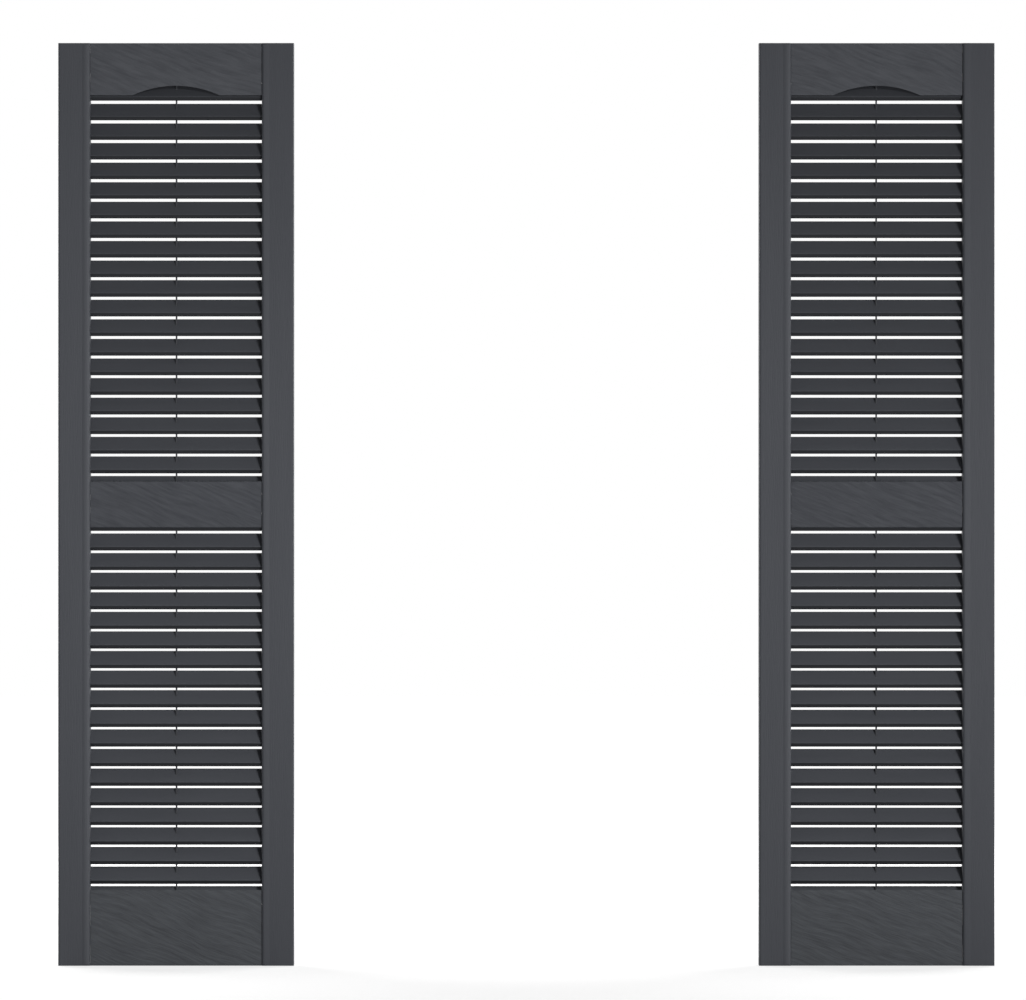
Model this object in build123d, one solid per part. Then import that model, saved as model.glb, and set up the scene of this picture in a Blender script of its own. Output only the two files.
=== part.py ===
from build123d import *
import math
import os

# A pair of louvred exterior shutters in moulded plastic, standing either side of a window.
# Millimetres, +Z up. The front looks along -Y and the backs lie in one plane against the wall.
# The origin is midway between the shutters, at their bottom edge, in the middle of their depth.

os.makedirs("parts", exist_ok=True)

# Driving sizes of one shutter
shutter_height = 1193.8
shutter_width = 304.8
shutter_depth = 25.4
window_width = 602.0

# Stiles: open-backed channels with a raised bead along the inner edge
stile_width = 41.4
stile_wall = 2.6
bead_rise = 1.0
bead_width = 10.0
bead_inner_radius = 3.4
stile_outer_radius = 3.0
stile_end_radius = 2.6
lip_depth = 6.3
rib_thickness = 2.0
rib_count = 6
rib_setback = 1.5

# Fixing posts moulded on the back of each stile
post_width = 12.0
post_hole_radius = 3.2
post_end_distance = 100.0

# Rails: open-backed trays set back behind the beads
rail_setback = 3.6
rail_skin = 2.6
rail_wall = 2.2
rail_edge_radius = 1.4
rail_rib_count = 3
top_rail_height = 67.6
mid_rail_height = 60.0
mid_rail_centre = 596.9
bottom_rail_height = 98.0
arch_width = 113.0
arch_rise = 12.5

# Louvre panels: blades, two side strips and a centre rib in one moulding
louvre_pitch = 25.4
louvre_sight_gap = 3.2
louvre_thickness = 2.2
louvre_nose_radius = 1.2
louvre_nose_height = 4.6
louvre_nose_end_angle = 8.0
louvre_undercut_angle = 42.0
louvre_lip_thickness = 1.6
louvre_nose_clearance = 0.8
louvre_back_setback = 2.2
upper_nose_drop = 6.6
lower_nose_drop = 4.4
strip_thickness = 2.0
strip_proud = 0.4
strip_end_margin = 1.5
centre_rib_thickness = 1.9
centre_rib_depth = 8.5

# Snap tongues that join rails and panels to the stiles
tongue_length = 10.0
wide_tongue_length = 26.0
tongue_thickness = 2.0
tongue_reach = 2.4
barb_rise = 0.8
barb_length = 1.2
panel_tongue_count = 2
panel_tongue_out = 10.0

# Extra length of cutting and joining blocks, and how closely an edge is matched to a level
overshoot = 1.0
match_tolerance = 0.01

# Clearances, and how far the rails and panels stop short of the wall plane
fit_gap = 0.3
butt_gap = 0.2
moulding_back_setback = 1.2

# Levels measured out from the wall plane
bead_crest_out = shutter_depth
stile_face_out = shutter_depth - bead_rise
rail_face_out = shutter_depth - rail_setback
rail_back_out = rail_face_out - rail_skin
louvre_nose_out = rail_back_out - louvre_nose_clearance
strip_front_out = louvre_nose_out + strip_proud
lip_back_out = shutter_depth - lip_depth

# Places across one shutter, from its centre line
outer_x = shutter_width / 2
edge_x = outer_x - stile_width
strip_outer_x = edge_x + strip_thickness
wall_inner_x = strip_outer_x + fit_gap
wall_outer_x = wall_inner_x + stile_wall
channel_outer_x = outer_x - stile_wall
post_x = (wall_outer_x + channel_outer_x) / 2
rail_end_x = edge_x - butt_gap
barb_x = wall_outer_x + fit_gap
tongue_end_x = wall_outer_x + tongue_reach

# Heights of the rails' edges
top_rail_edge = shutter_height - top_rail_height
mid_rail_top = mid_rail_centre + mid_rail_height / 2
mid_rail_bottom = mid_rail_centre - mid_rail_height / 2
bottom_rail_edge = bottom_rail_height

# Blade noses, counted down from each section's top until one is hidden behind the rail below
louvre_rise = louvre_pitch - louvre_sight_gap


def louvre_heights(section_top, section_bottom, nose_drop):
    """Heights of the blades' lowest points in one section, from the top down."""
    first = section_top - nose_drop
    count = math.floor((first + louvre_rise - section_bottom) / louvre_pitch) + 1
    return [first - index * louvre_pitch for index in range(count)]


upper_louvres = louvre_heights(top_rail_edge, mid_rail_top, upper_nose_drop)
lower_louvres = louvre_heights(mid_rail_bottom, bottom_rail_edge, lower_nose_drop)


def panel_span(louvres):
    """Lowest and highest point of a louvre panel's side strips."""
    return louvres[-1] - strip_end_margin, louvres[0] + louvre_rise + strip_end_margin


upper_panel_bottom, upper_panel_top = panel_span(upper_louvres)
lower_panel_bottom, lower_panel_top = panel_span(lower_louvres)

# Clear heights of the three rails' trays, which the panels' ends meet
top_tray = (upper_panel_top + fit_gap, shutter_height)
mid_tray = (lower_panel_top + fit_gap, upper_panel_bottom - fit_gap)
bottom_tray = (0.0, lower_panel_bottom - fit_gap)

# Levels of the snap tongues, out from the wall: low and high side
rail_tongue_levels = (lip_back_out - fit_gap - tongue_thickness, lip_back_out - fit_gap)
panel_tongue_levels = (panel_tongue_out, panel_tongue_out + tongue_thickness)


def y_at(out):
    """The y of a point that lies this far out from the wall."""
    return shutter_depth / 2 - out


def block(x_range, out_range, z_range):
    """A plain block between two values of x, of distance from the wall and of height."""
    width = x_range[1] - x_range[0]
    depth = out_range[1] - out_range[0]
    height = z_range[1] - z_range[0]
    corner = Align.MIN, Align.MIN, Align.MIN
    return Pos(x_range[0], y_at(out_range[1]), z_range[0]) * Box(width, depth, height, align=corner)


def spread(low, high, count, length):
    """Centres of so many equal pieces, spaced evenly with a space at each end."""
    space = (high - low - count * length) / (count + 1)
    return [low + space + length / 2 + index * (length + space) for index in range(count)]


# Height and length of the tongue at each end of the rails
top_rail_tongue = (sum(top_tray) / 2, wide_tongue_length)
mid_rail_tongue = (sum(mid_tray) / 2, tongue_length)
bottom_rail_tongue = (sum(bottom_tray) / 2, wide_tongue_length)

# Heights of the panels' tongues, and of the fixing posts
upper_tongue_heights = spread(upper_panel_bottom, upper_panel_top, panel_tongue_count, tongue_length)
lower_tongue_heights = spread(lower_panel_bottom, lower_panel_top, panel_tongue_count, tongue_length)
post_heights = (post_end_distance, shutter_height / 2, shutter_height - post_end_distance)


def snap_tongue(start_x, levels, height, length):
    """A flat tongue that points along +X and ends in a barb behind the stile's wall."""
    low, high = y_at(levels[0]), y_at(levels[1])
    outline = Polyline(
        (start_x, high),
        (tongue_end_x, high),
        (barb_x + barb_length, low + barb_rise),
        (barb_x, low + barb_rise),
        (barb_x, low),
        (start_x, low),
        close=True,
    )
    return Pos(0, 0, height - length / 2) * extrude(make_face(outline), length)


def both_ends(piece):
    """A piece at the right-hand end, and its mirror image at the left-hand end."""
    return [piece, mirror(piece, about=Plane.YZ)]


def stile_section():
    """Cross-section of the right-hand stile, from the outer edge round to the back."""
    face_y = y_at(stile_face_out)
    crest = (edge_x + bead_inner_radius, y_at(bead_crest_out))
    bead_foot = (edge_x + bead_width, face_y)
    flank_top = (edge_x, y_at(bead_crest_out) + bead_inner_radius)
    outer_start = (outer_x, face_y + stile_outer_radius)
    outer_end = (outer_x - stile_outer_radius, face_y)
    wall_y = y_at(0)
    inside_y = y_at(stile_face_out - stile_wall)
    lip_y = y_at(lip_back_out)
    edges = [
        Line((outer_x, wall_y), outer_start),
        TangentArc(outer_start, outer_end, tangent=(0, -1)),
        Line(outer_end, bead_foot),
        TangentArc(crest, bead_foot, tangent=(1, 0)),
        TangentArc(crest, flank_top, tangent=(-1, 0)),
        Polyline(
            flank_top,
            (edge_x, lip_y),
            (wall_inner_x, lip_y),
            (wall_inner_x, wall_y),
            (wall_outer_x, wall_y),
            (wall_outer_x, inside_y),
            (channel_outer_x, inside_y),
            (channel_outer_x, wall_y),
            (outer_x, wall_y),
        ),
    ]
    return make_face(edges)


def end_rounding():
    """A block as large as the stile, with its front edge rounded at the top and the bottom."""
    width = (edge_x - overshoot, outer_x + overshoot)
    envelope = block(width, (-overshoot, bead_crest_out), (0, shutter_height))
    front_edges = [
        edge
        for edge in envelope.edges().filter_by(Axis.X)
        if abs(edge.center().Y - y_at(bead_crest_out)) < match_tolerance
    ]
    return fillet(front_edges, stile_end_radius)


def right_stile():
    """The right-hand stile: channel, end walls, ribs, fixing posts and slots for the tongues."""
    stile = extrude(stile_section(), shutter_height) & end_rounding()
    inside = (wall_outer_x - stile_wall / 2, channel_outer_x + stile_wall / 2)
    rib_span = (tongue_end_x + overshoot, channel_outer_x + stile_wall / 2)
    under_face = stile_face_out - stile_wall / 2
    additions = [
        block(inside, (0, under_face - stile_wall), (0, stile_wall)),
        block(inside, (0, under_face - stile_wall), (shutter_height - stile_wall, shutter_height)),
    ]
    for height in spread(stile_wall, shutter_height - stile_wall, rib_count, rib_thickness):
        rib_heights = (height - rib_thickness / 2, height + rib_thickness / 2)
        additions.append(block(rib_span, (rib_setback, under_face), rib_heights))
    half = post_width / 2
    post_span = (post_x - half, post_x + half)
    for height in post_heights:
        additions.append(block(post_span, (0, under_face), (height - half, height + half)))
    stile = stile.fuse(*additions)
    holes = []
    hole_depth = stile_face_out - stile_wall
    for height in post_heights:
        bore = Cylinder(post_hole_radius, hole_depth)
        holes.append(Pos(post_x, y_at(hole_depth / 2), height) * Rot(X=90) * bore)
    slot_x = (wall_inner_x - overshoot, wall_outer_x + match_tolerance)
    tongues = [(top_rail_tongue, rail_tongue_levels)]
    tongues.append((mid_rail_tongue, rail_tongue_levels))
    tongues.append((bottom_rail_tongue, rail_tongue_levels))
    for height in upper_tongue_heights + lower_tongue_heights:
        tongues.append(((height, tongue_length), panel_tongue_levels))
    for (height, length), levels in tongues:
        half_slot = length / 2 + fit_gap
        slot_levels = (levels[0] - fit_gap, levels[1] + fit_gap)
        holes.append(block(slot_x, slot_levels, (height - half_slot, height + half_slot)))
    return stile.cut(*holes)


def louvre_section():
    """Section of one blade, drawn with y as it stands and its lowest point at height 0."""
    top_y = y_at(louvre_back_setback)
    centre_y = y_at(louvre_nose_out - louvre_nose_radius)
    run = top_y - centre_y
    climb = louvre_rise - louvre_nose_height
    slope = math.atan2(climb, run) - math.asin(louvre_nose_radius / math.hypot(run, climb))
    drop = louvre_thickness / math.cos(slope)

    def on_nose(angle):
        """The nose's point whose surface faces this many degrees above the horizontal."""
        across = louvre_nose_radius * math.cos(math.radians(angle))
        up = louvre_nose_radius * math.sin(math.radians(angle))
        return centre_y - across, louvre_nose_height + up

    face_end = on_nose(90 - math.degrees(slope))
    undercut_start = on_nose(-louvre_nose_end_angle)
    undercut = math.radians(louvre_undercut_angle)
    foot_y = undercut_start[0] + undercut_start[1] * math.tan(undercut)
    behind_foot_y = foot_y + louvre_lip_thickness / math.cos(undercut)
    over_foot_z = louvre_rise - drop - (top_y - behind_foot_y) * math.tan(slope)
    corner_z = over_foot_z / (1 + math.tan(undercut) * math.tan(slope))
    corner_y = behind_foot_y - corner_z * math.tan(undercut)
    edges = [
        ThreePointArc(face_end, on_nose(0), undercut_start),
        Polyline(
            undercut_start,
            (foot_y, 0),
            (corner_y, corner_z),
            (top_y, louvre_rise - drop),
            (top_y, louvre_rise),
            face_end,
        ),
    ]
    return make_face(edges)


def louvre_panel(louvres, tongue_heights):
    """One moulding: its blades, the strips at their ends, the rib behind them and its tongues."""
    low, high = panel_span(louvres)
    blade = extrude(Plane.YZ * louvre_section(), edge_x + strip_thickness / 2, both=True)
    strip = block((edge_x, strip_outer_x), (moulding_back_setback, strip_front_out), (low, high))
    rib_levels = (moulding_back_setback, moulding_back_setback + centre_rib_depth)
    half_rib = centre_rib_thickness / 2
    rib = block((-half_rib, half_rib), rib_levels, (low, high))
    pieces = both_ends(strip) + [rib]
    for height in louvres[1:]:
        pieces.append(Pos(0, 0, height) * blade)
    for height in tongue_heights:
        tongue = snap_tongue(edge_x + strip_thickness / 2, panel_tongue_levels, height, tongue_length)
        pieces += both_ends(tongue)
    return (Pos(0, 0, louvres[0]) * blade).fuse(*pieces)


def rail_body(face, tray, tongue):
    """An open-backed tray behind a front plate; face and tray are their lowest and highest points."""
    plate = block((-rail_end_x, rail_end_x), (rail_back_out, rail_face_out), face)
    rounded = [
        edge
        for edge in plate.edges().filter_by(Axis.X)
        if abs(edge.center().Y - y_at(rail_face_out)) < match_tolerance
    ]
    plate = fillet(rounded, rail_edge_radius)
    levels = (moulding_back_setback, rail_back_out + rail_skin / 2)
    low, high = tray
    pieces = []
    for wall_low in (low, high - rail_wall):
        pieces.append(block((-rail_end_x, rail_end_x), levels, (wall_low, wall_low + rail_wall)))
    end_wall = block((rail_end_x - rail_wall, rail_end_x), levels, (low, high))
    pieces += both_ends(end_wall)
    for x in spread(-rail_end_x + rail_wall, rail_end_x - rail_wall, rail_rib_count, rib_thickness):
        rib_span = (x - rib_thickness / 2, x + rib_thickness / 2)
        pieces.append(block(rib_span, levels, (low, high)))
    pieces += both_ends(snap_tongue(rail_end_x - rail_wall / 2, rail_tongue_levels, *tongue))
    return plate.fuse(*pieces)


def closing_wall(low):
    """The wall that closes a rail's outer edge, out to the stiles' walls and back to the wall plane."""
    levels = (0, rail_tongue_levels[1])
    return block((-strip_outer_x, strip_outer_x), levels, (low, low + rail_wall))


def top_rail():
    """The top rail, with a shallow arch cut in its lower edge."""
    rail = rail_body((top_rail_edge, shutter_height), top_tray, top_rail_tongue)
    rail = rail.fuse(closing_wall(shutter_height - rail_wall))
    arch_radius = (arch_width**2 / 4 + arch_rise**2) / (2 * arch_rise)
    arch_centre = top_rail_edge + arch_rise - arch_radius
    cutter_length = 2 * (rail_skin + overshoot)
    arch = Pos(0, y_at(rail_face_out), arch_centre) * Rot(X=90) * Cylinder(arch_radius, cutter_length)
    return rail.cut(arch)


def mid_rail():
    """The rail between the two louvre panels."""
    return rail_body((mid_rail_bottom, mid_rail_top), mid_tray, mid_rail_tongue)


def bottom_rail():
    """The tall bottom rail."""
    return rail_body((0, bottom_rail_edge), bottom_tray, bottom_rail_tongue).fuse(closing_wall(0))


def shutter_pieces():
    """The pieces of one shutter, on its own centre line."""
    stile = right_stile()
    return {
        "right_stile": stile,
        "left_stile": mirror(stile, about=Plane.YZ),
        "top_rail": top_rail(),
        "upper_louvre_panel": louvre_panel(upper_louvres, upper_tongue_heights),
        "mid_rail": mid_rail(),
        "lower_louvre_panel": louvre_panel(lower_louvres, lower_tongue_heights),
        "bottom_rail": bottom_rail(),
    }


shutter_centre = (window_width + shutter_width) / 2
pieces = shutter_pieces()
for side, centre in (("left", -shutter_centre), ("right", shutter_centre)):
    for name, piece in pieces.items():
        export_step(Pos(centre, 0, 0) * piece, f"parts/{side}_shutter_{name}.step")
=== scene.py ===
import math

import bpy
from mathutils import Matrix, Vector


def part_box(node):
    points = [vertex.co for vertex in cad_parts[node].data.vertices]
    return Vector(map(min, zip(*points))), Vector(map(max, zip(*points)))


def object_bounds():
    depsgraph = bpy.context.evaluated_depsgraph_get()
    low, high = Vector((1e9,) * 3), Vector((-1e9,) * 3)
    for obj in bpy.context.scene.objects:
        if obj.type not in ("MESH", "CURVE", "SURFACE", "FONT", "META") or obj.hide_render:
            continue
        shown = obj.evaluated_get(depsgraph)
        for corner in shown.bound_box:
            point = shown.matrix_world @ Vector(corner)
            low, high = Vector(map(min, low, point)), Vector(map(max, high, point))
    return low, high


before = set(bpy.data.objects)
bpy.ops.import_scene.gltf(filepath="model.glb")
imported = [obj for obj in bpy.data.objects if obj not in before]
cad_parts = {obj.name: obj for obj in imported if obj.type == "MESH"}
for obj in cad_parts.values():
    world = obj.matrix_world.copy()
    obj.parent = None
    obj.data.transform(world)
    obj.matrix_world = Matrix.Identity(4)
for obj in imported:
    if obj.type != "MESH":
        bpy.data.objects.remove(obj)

# A pair of louvred shutters in dark grey moulded plastic, seen square from the front.
# Metres, in the model's own frame: the front looks along -Y, +Z is up.

cad_low, cad_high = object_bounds()
scene = bpy.context.scene
front_y = cad_low.y
centre_x = (cad_low.x + cad_high.x) / 2
SIDES = ("left", "right")


def srgb(red, green, blue):
    """A colour given in the 0 to 255 values that it shows on a screen."""
    def linear(value):
        value /= 255.0
        return value / 12.92 if value <= 0.04045 else ((value + 0.055) / 1.055) ** 2.4
    return linear(red), linear(green), linear(blue), 1.0


def even_grey(level):
    return level, level, level, 1.0


WHITE = even_grey(1.0)

# The sockets of a Mix node's first value, second value and result, for each kind of value
MIX_SOCKETS = {"FLOAT": (2, 3, 0), "RGBA": (6, 7, 2)}


class Nodes:
    """Short calls that build the nodes of one material, or of the world."""

    def __init__(self, owner):
        owner.use_nodes = True
        self.owner = owner
        self.tree = owner.node_tree

    def add(self, kind, inputs=(), **settings):
        """A new node. Each of its inputs is given as a value or as another node's output."""
        node = self.tree.nodes.new(kind)
        for key, value in settings.items():
            setattr(node, key, value)
        for key, value in dict(inputs).items():
            if isinstance(value, bpy.types.NodeSocket):
                self.tree.links.new(value, node.inputs[key])
            else:
                node.inputs[key].default_value = value
        return node

    def position(self):
        return self.add("ShaderNodeTexCoord").outputs["Object"]

    def maths(self, operation, first, second):
        return self.add("ShaderNodeMath", {0: first, 1: second}, operation=operation).outputs[0]

    def vector_maths(self, operation, inputs):
        """The outputs of a node that works on vectors: the result is its Vector or its Value."""
        return self.add("ShaderNodeVectorMath", inputs, operation=operation).outputs

    def stretched(self, vector, x=1.0, z=1.0):
        """The same place with one axis scaled down, so that a texture is drawn out along it."""
        inputs = {"Vector": vector, "Scale": (x, 1.0, z)}
        return self.add("ShaderNodeMapping", inputs).outputs["Vector"]

    def noise(self, vector, scale, detail=2.0, roughness=0.5):
        inputs = {"Vector": vector, "Scale": scale, "Detail": detail, "Roughness": roughness}
        return self.add("ShaderNodeTexNoise", inputs).outputs["Fac"]

    def ramp(self, value, source, target=(0.0, 1.0)):
        """A value moved from one range into another, and held within it."""
        inputs = {
            "Value": value,
            "From Min": source[0],
            "From Max": source[1],
            "To Min": target[0],
            "To Max": target[1],
        }
        return self.add("ShaderNodeMapRange", inputs).outputs["Result"]

    def mix(self, kind, share, first, second):
        """Two numbers or two colours mixed, with the second's share."""
        first_socket, second_socket, result = MIX_SOCKETS[kind]
        inputs = {0: share, first_socket: first, second_socket: second}
        return self.add("ShaderNodeMix", inputs, data_type=kind).outputs[result]

    def blend(self, share, first, second):
        return self.mix("FLOAT", share, first, second)

    def tint(self, share, dark, light):
        return self.mix("RGBA", share, dark, light)

    def bump(self, value, height, strength=1.0, normal=None):
        inputs = {"Height": value, "Distance": height, "Strength": strength}
        if normal is not None:
            inputs["Normal"] = normal
        return self.add("ShaderNodeBump", inputs).outputs["Normal"]


# The darkest and the lightest grey of each moulding. They are all one plastic: the mid rail's darker
# greys are painted shade that offsets the softboxes level with it, and the right stiles' darker
# greys are painted shade too.
GREYS = {
    "left_stile": (srgb(66, 68, 73), srgb(77, 79, 84)),
    "right_stile": (srgb(63, 65, 70), srgb(74, 76, 81)),
    "top_rail": (srgb(64, 66, 71), srgb(89, 91, 96)),
    "mid_rail": (srgb(54, 56, 61), srgb(79, 81, 86)),
    "bottom_rail": (srgb(62, 64, 68), srgb(86, 89, 93)),
    "louvre_panel": (srgb(69, 71, 76), srgb(77, 79, 84)),
}

# What the finishes share. A texture's scale is in features a metre, and its stretch is the share
# of that scale along its grain. A bump has a height and a strength.
PLASTIC_SHINE = 0.15
PEEL_SCALE = 900.0
PORE_SCALE = 1300.0
PORE_RANGE = (0.36, 0.52)
NOISE_RANGE = (0.3, 0.7)
GRAINED_PEEL_BUMP = (0.00003, 0.4)
SMOOTH_PEEL_BUMP = (0.00002, 0.3)


def finished(nodes, colour, roughness, normal):
    """The material, once its nodes are joined to its shader."""
    shader = nodes.tree.nodes["Principled BSDF"]
    for socket, value in (("Base Color", colour), ("Roughness", roughness), ("Normal", normal)):
        nodes.tree.links.new(value, shader.inputs[socket])
    shader.inputs["Specular IOR Level"].default_value = PLASTIC_SHINE
    return nodes.owner


def orange_peel(nodes, place, bump, normal=None):
    """The faint unevenness that every moulded face has."""
    peel = nodes.noise(place, PEEL_SCALE, detail=3.0, roughness=0.6)
    return nodes.bump(peel, *bump, normal)


def fine_pores(nodes, along_grain, bump, normal):
    """Thin scratches in the wood grain, drawn out the way that the given place is stretched."""
    pores = nodes.ramp(nodes.noise(along_grain, PORE_SCALE, detail=1.5), PORE_RANGE)
    return nodes.bump(pores, *bump, normal)


# The stiles' grain runs upright, over broader bands of light and dark
STILE_ROUGHNESS = (0.52, 0.62)
GRAIN_SCALE = 700.0
GRAIN_STRETCH = 0.02
GRAIN_BUMP = (0.00010, 0.6)
BAND_SCALE = 60.0
BAND_STRETCH = 0.08
BAND_SHARE = 0.5
STILE_PORE_STRETCH = 0.04
STILE_PORE_BUMP = (0.00010, 0.7)

# A left stile's bead carries a painted highlight, a lighter grey in its colour: fully within the
# first of these distances from the stile's inner edge, and less and less up to the second
BEAD_HIGHLIGHT_GREY = srgb(81, 83, 88)
BEAD_HIGHLIGHT_WIDTH = (0.0045, 0.010)


def painted_bead_highlight(nodes, place, colour, bead_edge):
    """The colour with a painted highlight along the bead added, whose inner edge stands at the given
    x.
    """
    across = nodes.add("ShaderNodeSeparateXYZ", {0: place}).outputs["X"]
    from_edge = nodes.maths("SUBTRACT", bead_edge, across)
    return nodes.tint(nodes.ramp(from_edge, BEAD_HIGHLIGHT_WIDTH, (1.0, 0.0)), colour, BEAD_HIGHLIGHT_GREY)


def stile_plastic(name, greys, bead_edge=None):
    nodes = Nodes(bpy.data.materials.new(name))
    place = nodes.position()
    grain_place = nodes.stretched(place, z=GRAIN_STRETCH)
    grain = nodes.noise(grain_place, GRAIN_SCALE, detail=4.0, roughness=0.6)
    bands = nodes.noise(nodes.stretched(place, z=BAND_STRETCH), BAND_SCALE)
    colour = nodes.tint(nodes.blend(BAND_SHARE, grain, bands), *greys)
    # Painted highlight along the bead
    if bead_edge is not None:
        colour = painted_bead_highlight(nodes, place, colour, bead_edge)
    roughness = nodes.ramp(grain, NOISE_RANGE, STILE_ROUGHNESS)
    normal = nodes.bump(grain, *GRAIN_BUMP)
    pore_place = nodes.stretched(place, z=STILE_PORE_STRETCH)
    normal = fine_pores(nodes, pore_place, STILE_PORE_BUMP, normal)
    normal = orange_peel(nodes, place, GRAINED_PEEL_BUMP, normal)
    return finished(nodes, colour, roughness, normal)


# The rails are embossed with streaks of wood grain, which slant down to the right and sway a
# little, over broader patches of light and dark
RAIL_ROUGHNESS = (0.60, 0.74)
STREAK_SLANT = math.radians(-21.0)
STREAK_SPACING = 0.0046
STREAK_LENGTH = 0.040
STREAK_HEIGHT = 0.0009
SWAY_SCALE = 9.0
SWAY_WIDTH = 0.022
PATCH_SCALE = 40.0
PATCH_SHARE = 0.3
RAIL_PORE_STRETCH = 0.05
RAIL_PORE_BUMP = (0.00012, 0.8)


def swaying_place(nodes, place):
    """The place turned to the streaks' slant and shifted by their sway."""
    inputs = {"Vector": place, "Rotation": (0.0, STREAK_SLANT, 0.0)}
    slanted = nodes.add("ShaderNodeMapping", inputs).outputs["Vector"]
    sway = nodes.maths("MULTIPLY", nodes.noise(place, SWAY_SCALE, detail=1.0), SWAY_WIDTH)
    shift = nodes.add("ShaderNodeCombineXYZ", {"Z": sway}).outputs["Vector"]
    return nodes.vector_maths("ADD", {0: slanted, 1: shift})["Vector"]


def rail_plastic(name, greys):
    nodes = Nodes(bpy.data.materials.new(name))
    place = nodes.position()
    swaying = swaying_place(nodes, place)
    along = nodes.stretched(swaying, x=STREAK_SPACING / STREAK_LENGTH)
    streaks = nodes.noise(along, 1 / STREAK_SPACING, detail=2.5, roughness=0.6)
    patches = nodes.noise(along, PATCH_SCALE)
    shading = nodes.blend(PATCH_SHARE, nodes.ramp(streaks, NOISE_RANGE), patches)
    colour = nodes.tint(shading, *greys)
    roughness = nodes.ramp(streaks, NOISE_RANGE, RAIL_ROUGHNESS)
    normal = nodes.bump(streaks, STREAK_HEIGHT)
    pore_place = nodes.stretched(swaying, x=RAIL_PORE_STRETCH)
    normal = fine_pores(nodes, pore_place, RAIL_PORE_BUMP, normal)
    normal = orange_peel(nodes, place, GRAINED_PEEL_BUMP, normal)
    return finished(nodes, colour, roughness, normal)


# The louvres are moulded smooth, with the flow of the plastic showing a little. The drip lip
# under each blade's nose is darkened with painted shade, as if it lay in shadow. It is known by
# the way it faces: the closer a face points that way, from the start of the range to its end,
# the darker it is, down to this share of the plain grey.
LOUVRE_ROUGHNESS = (0.50, 0.60)
FLOW_SCALE = 45.0
FLOW_STRETCH = 0.15
SHADED_LIP_FACING = (0.0, -0.74, -0.67)
SHADED_LIP_RANGE = (0.45, 0.95)
PAINTED_LIP_SHADE = 0.35


def louvre_plastic(name, greys):
    nodes = Nodes(bpy.data.materials.new(name))
    place = nodes.position()
    flow = nodes.noise(nodes.stretched(place, x=FLOW_STRETCH), FLOW_SCALE)
    facing = nodes.add("ShaderNodeNewGeometry").outputs["Normal"]
    towards_shaded_lip = nodes.vector_maths("DOT_PRODUCT", {0: facing, 1: SHADED_LIP_FACING})["Value"]
    # Painted shade: faces turned down and forward, like the drip lip, are darkened in the colour
    painted_shade = nodes.ramp(towards_shaded_lip, SHADED_LIP_RANGE, (1.0, PAINTED_LIP_SHADE))
    plain = nodes.tint(flow, *greys)
    colour = nodes.vector_maths("SCALE", {0: plain, "Scale": painted_shade})["Vector"]
    roughness = nodes.ramp(flow, NOISE_RANGE, LOUVRE_ROUGHNESS)
    normal = orange_peel(nodes, place, SMOOTH_PEEL_BUMP)
    return finished(nodes, colour, roughness, normal)


def dress(node, material):
    """Gives one CAD node its finish, with smooth shading over its curved faces."""
    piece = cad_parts[node]
    piece.data.materials.clear()
    piece.data.materials.append(material)
    for polygon in piece.data.polygons:
        polygon.use_smooth = True
        polygon.material_index = 0


def dress_all():
    louvre = louvre_plastic("louvre_plastic", GREYS["louvre_panel"])
    finishes = {
        "upper_louvre_panel": louvre,
        "lower_louvre_panel": louvre,
        # The right stiles' darker grey is painted shade
        "right_stile": stile_plastic("stile_plastic", GREYS["right_stile"]),
    }
    # The mid rail's darker grey is painted shade
    for rail in ("top_rail", "mid_rail", "bottom_rail"):
        finishes[rail] = rail_plastic(f"{rail}_plastic", GREYS[rail])
    for side in SIDES:
        left_stile = f"{side}_shutter_left_stile"
        bead_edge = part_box(left_stile)[1].x
        # Only the left stiles get the painted highlight along their bead
        highlighted_name = f"{side}_shutter_bead_highlight_plastic"
        dress(left_stile, stile_plastic(highlighted_name, GREYS["left_stile"], bead_edge))
        for name, material in finishes.items():
            dress(f"{side}_shutter_{name}", material)


# The floor and the background are white wherever the camera or a reflection meets them, and a
# glow of 1 shows as white. Near the shutters the floor glows less, so that it keeps their shadow.
SHOWS_WHITE = 1.0
WORLD_LEVEL = 0.08
FLOOR_SIZE = 24.0
FLOOR_DROP = 0.0005
FLOOR_GREY = 0.8
GLOW_REACH = (1.2, 3.5)
GLOW_NEAR = 0.74


def sees_background(nodes):
    """1 for a ray from the camera, off a shiny face or through a clear one, and otherwise 0."""
    rays = nodes.add("ShaderNodeLightPath").outputs
    share = rays["Is Camera Ray"]
    for ray in ("Is Glossy Ray", "Is Transmission Ray"):
        share = nodes.maths("MAXIMUM", share, rays[ray])
    return share


def by_ray(nodes, lighting, background):
    """One shader for the rays that see the background, and the other, which lights, for the rest."""
    inputs = {0: sees_background(nodes), 1: lighting.outputs[0], 2: background.outputs[0]}
    return nodes.add("ShaderNodeMixShader", inputs).outputs[0]


def floor_white():
    """White far off, and near the shutters grey enough to keep their soft shadow."""
    nodes = Nodes(bpy.data.materials.new("floor_white"))
    diffuse = nodes.add("ShaderNodeBsdfDiffuse", {"Color": even_grey(FLOOR_GREY)})
    distance = nodes.vector_maths("LENGTH", {0: nodes.position()})["Value"]
    strength = nodes.ramp(distance, GLOW_REACH, (GLOW_NEAR, SHOWS_WHITE))
    glow = nodes.add("ShaderNodeEmission", {"Color": WHITE, "Strength": strength})
    glowing = nodes.add("ShaderNodeAddShader", {0: diffuse.outputs[0], 1: glow.outputs[0]})
    surface = nodes.tree.nodes["Material Output"].inputs["Surface"]
    nodes.tree.links.new(by_ray(nodes, diffuse, glowing), surface)
    return nodes.owner


def lay_floor():
    bpy.ops.mesh.primitive_plane_add(size=FLOOR_SIZE, location=(centre_x, 0, cad_low.z - FLOOR_DROP))
    floor = bpy.context.object
    floor.name = "floor"
    floor.data.materials.append(floor_white())


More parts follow.
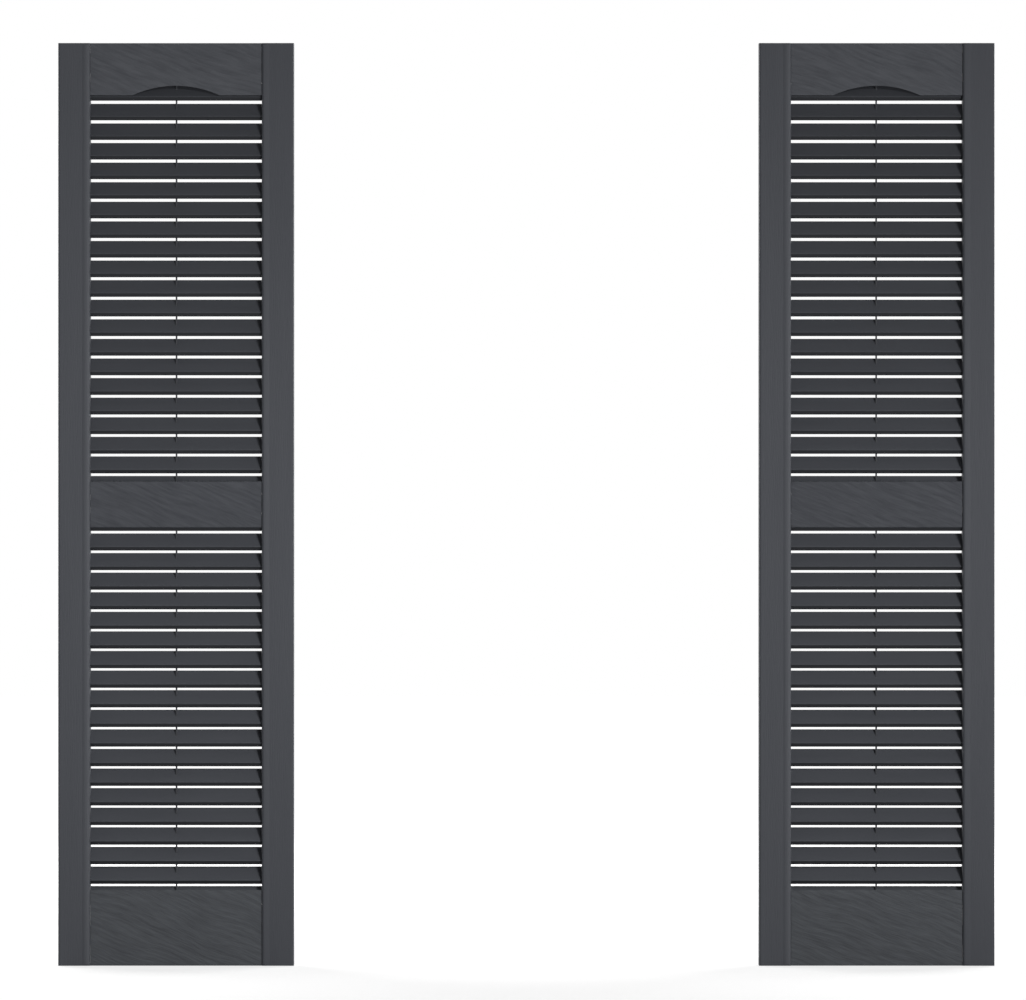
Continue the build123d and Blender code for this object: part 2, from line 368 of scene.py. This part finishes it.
def world_light():
    """A little soft light from all round, and a white background."""
    nodes = Nodes(bpy.data.worlds.new("studio"))
    nodes.tree.nodes.clear()
    soft = nodes.add("ShaderNodeBackground", {"Color": WHITE, "Strength": WORLD_LEVEL})
    white = nodes.add("ShaderNodeBackground", {"Color": WHITE, "Strength": SHOWS_WHITE})
    nodes.add("ShaderNodeOutputWorld", {"Surface": by_ray(nodes, soft, white)})
    scene.world = nodes.owner


# The key light is a sun low on the right, so how far off it stands makes no difference
KEY_ELEVATION = math.radians(12.0)
KEY_AZIMUTH = math.radians(21.0)
KEY_SPREAD = math.radians(2.0)
KEY_STRENGTH = 0.58
KEY_DISTANCE = 3.0

# Each shutter has a softbox of its own, in front and to its right, level with its middle. It
# is turned to aim past the shutter's left side, so that the nearer stile isn't lit too much.
BOX_DISTANCE = 1.2
BOX_AZIMUTH = math.radians(26.0)
BOX_HEIGHT = 0.6
BOX_SIZE = (0.4, 0.3)
BOX_POWER = 15.6
BOX_TURN = 2.8

# A large softbox behind each side lights the backs and the edges
BACK_DISTANCE = 2.2
BACK_HEIGHT = 1.1
BACK_SIZE = (2.0, 1.6)
BACK_POWER = 62.0


def add_light(data, place, towards):
    """Puts a light in the scene, shining towards a point, where the camera doesn't see it."""
    light = bpy.data.objects.new(data.name, data)
    scene.collection.objects.link(light)
    light.location = place
    light.rotation_euler = (towards - place).to_track_quat("-Z", "Y").to_euler()
    light.visible_camera = False
    return light


def key_light(towards):
    level = math.cos(KEY_ELEVATION)
    direction = Vector((
        level * math.sin(KEY_AZIMUTH),
        -level * math.cos(KEY_AZIMUTH),
        math.sin(KEY_ELEVATION),
    ))
    data = bpy.data.lights.new("key", "SUN")
    data.energy = KEY_STRENGTH
    data.angle = KEY_SPREAD
    add_light(data, towards + KEY_DISTANCE * direction, towards)


def softbox(name, place, towards, size, power):
    data = bpy.data.lights.new(name, "AREA")
    data.shape = "RECTANGLE"
    data.size, data.size_y = size
    data.energy = power
    return add_light(data, place, towards)


def shutter_softbox(side):
    """A softbox that lights the shutter on one side, and isn't seen by the other."""
    names = [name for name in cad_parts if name.startswith(side)]
    boxes = [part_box(name) for name in names]
    middle_x = (min(low.x for low, high in boxes) + max(high.x for low, high in boxes)) / 2
    middle = Vector((middle_x, front_y, BOX_HEIGHT))
    place = middle + Vector((BOX_DISTANCE * math.tan(BOX_AZIMUTH), -BOX_DISTANCE, 0))
    aim = middle - Vector((BOX_TURN, 0, 0))
    light = softbox(f"{side}_softbox", place, aim, BOX_SIZE, BOX_POWER)
    lit = bpy.data.collections.new(f"{side}_lit")
    for name in names:
        lit.objects.link(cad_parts[name])
    light.light_linking.receiver_collection = lit


def lights():
    middle = Vector((centre_x, front_y, BOX_HEIGHT))
    key_light(middle)
    for side in SIDES:
        shutter_softbox(side)
    for side, way in zip(SIDES, (-1, 1)):
        place = Vector((centre_x + way * BACK_DISTANCE, BACK_DISTANCE, BACK_HEIGHT))
        softbox(f"{side}_back_softbox", place, middle, BACK_SIZE, BACK_POWER)
    world_light()


# The camera stands where the photograph's did, level and looking along +Y. Its lens follows
# from the width that the frame covers at the shutters' front. Its sensor is in millimetres.
CAMERA_DISTANCE = 8.80
CAMERA_X = -0.0173
CAMERA_Z = 0.6026
LEVEL_VIEW = (math.radians(90.0), 0.0, 0.0)
FRAME_WIDTH_AT_FRONT = 1.327
SENSOR_WIDTH = 36.0
VIEW_REACH = 100.0


def camera():
    data = bpy.data.cameras.new("camera")
    data.sensor_fit = "HORIZONTAL"
    data.sensor_width = SENSOR_WIDTH
    data.lens = SENSOR_WIDTH * CAMERA_DISTANCE / FRAME_WIDTH_AT_FRONT
    data.clip_end = VIEW_REACH
    eye = bpy.data.objects.new("camera", data)
    scene.collection.objects.link(eye)
    eye.location = (CAMERA_X, front_y - CAMERA_DISTANCE, CAMERA_Z)
    eye.rotation_euler = LEVEL_VIEW
    scene.camera = eye


camera()
dress_all()
lay_floor()
lights()

scene.view_settings.view_transform = "Standard"
